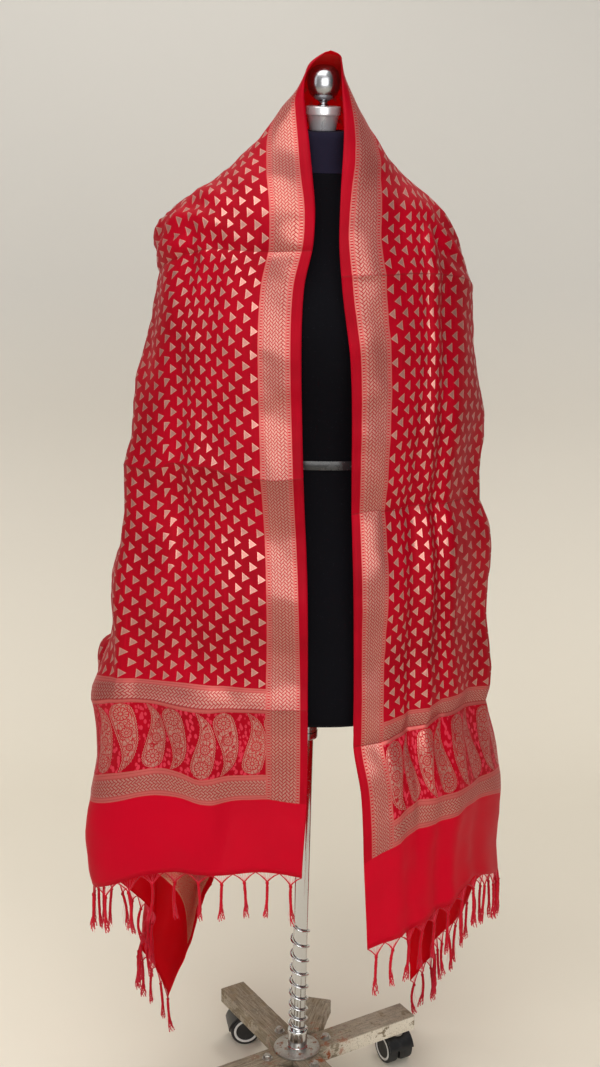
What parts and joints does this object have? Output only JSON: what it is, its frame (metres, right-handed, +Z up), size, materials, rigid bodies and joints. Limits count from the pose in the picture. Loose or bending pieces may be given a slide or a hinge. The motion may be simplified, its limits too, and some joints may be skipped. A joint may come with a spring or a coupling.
{
  "type": "dupatta stole on a dress form stand",
  "caption": "Long red stole with woven bands and knotted fringes, draped hood-like over a limbless black dress form on a chrome pole and castor stand.",
  "frame": {"origin": "centre of the whole on the floor", "axes": "+Z up; -Y the front, where the stole's two edges hang; +X the form's own left, where the longer fall hangs"},
  "size_m": [0.6196, 0.5026, 1.5551],
  "materials": {
    "stole_cloth": "red silk with a woven metallic pattern",
    "stole_fringe": "twisted and knotted red silk",
    "form_cover": "matt black jersey",
    "neck_cover": "matt blue-black cloth",
    "waist_tape": "smooth black tape",
    "chrome": "bright plating",
    "socket_plastic": "black moulding",
    "steel": "worn zinc",
    "leg_wood": "weathered paint on wood",
    "castor_plastic": "black moulding",
    "wheel_plastic": "black moulding"
  },
  "bodies": {
    "base": {"pole": "chrome", "spring": "chrome", "hub_sleeve": "chrome", "hub_plate": "steel", "bolt_1": "steel", "bolt_2": "steel", "bolt_3": "steel", "bolt_4": "steel", "beam": "leg_wood", "leg_back": "leg_wood", "leg_front": "leg_wood", "stub_back": "leg_wood", "stub_front": "leg_wood"},
    "form": {"form_torso": "form_cover", "form_neck": "neck_cover", "form_waist_tape": "waist_tape", "neck_cap": "chrome", "finial": "chrome", "pole_socket": "socket_plastic", "pole_clamp": "chrome", "stole_hood": "stole_cloth", "stole_left": "stole_cloth", "stole_right": "stole_cloth", "fringe_left": "stole_fringe", "fringe_right": "stole_fringe"},
    "castor_1": {"castor_1_housing": "castor_plastic"},
    "wheels_1": {"castor_1_wheels": "wheel_plastic"},
    "castor_2": {"castor_2_housing": "castor_plastic"},
    "wheels_2": {"castor_2_wheels": "wheel_plastic"},
    "castor_3": {"castor_3_housing": "castor_plastic"},
    "wheels_3": {"castor_3_wheels": "wheel_plastic"},
    "castor_4": {"castor_4_housing": "castor_plastic"},
    "wheels_4": {"castor_4_wheels": "wheel_plastic"}
  },
  "joints": [
    {"name": "height_slide", "type": "slide", "parent": "base", "child": "form", "axis": [0.0244, 0, 0.9997], "range_m": [0, 0.12]},
    {"name": "castor_1_swivel", "type": "hinge", "parent": "base", "child": "castor_1", "pos_m": [0.15153, 0.04196, 0], "axis": [0, 0, 1], "continuous": true},
    {"name": "castor_1_roll", "type": "hinge", "parent": "castor_1", "child": "wheels_1", "pos_m": [0.14684, 0.05079, 0.02452], "axis": [-0.8829, -0.4695, 0], "continuous": true},
    {"name": "castor_2_swivel", "type": "hinge", "parent": "base", "child": "castor_2", "pos_m": [-0.1037, 0.10559, 0], "axis": [0, 0, 1], "continuous": true},
    {"name": "castor_2_roll", "type": "hinge", "parent": "castor_2", "child": "wheels_2", "pos_m": [-0.09385, 0.10733, 0.02452], "axis": [-0.1736, 0.9848, 0], "continuous": true},
    {"name": "castor_3_swivel", "type": "hinge", "parent": "base", "child": "castor_3", "pos_m": [-0.16733, -0.14964, 0], "axis": [0, 0, 1], "continuous": true},
    {"name": "castor_3_roll", "type": "hinge", "parent": "castor_3", "child": "wheels_3", "pos_m": [-0.17075, -0.15903, 0.02452], "axis": [0.9397, -0.342, 0], "continuous": true},
    {"name": "castor_4_swivel", "type": "hinge", "parent": "base", "child": "castor_4", "pos_m": [0.0879, -0.21327, 0], "axis": [0, 0, 1], "continuous": true},
    {"name": "castor_4_roll", "type": "hinge", "parent": "castor_4", "child": "wheels_4", "pos_m": [0.09656, -0.21827, 0.02452], "axis": [0.5, 0.866, 0], "continuous": true}
  ]
}
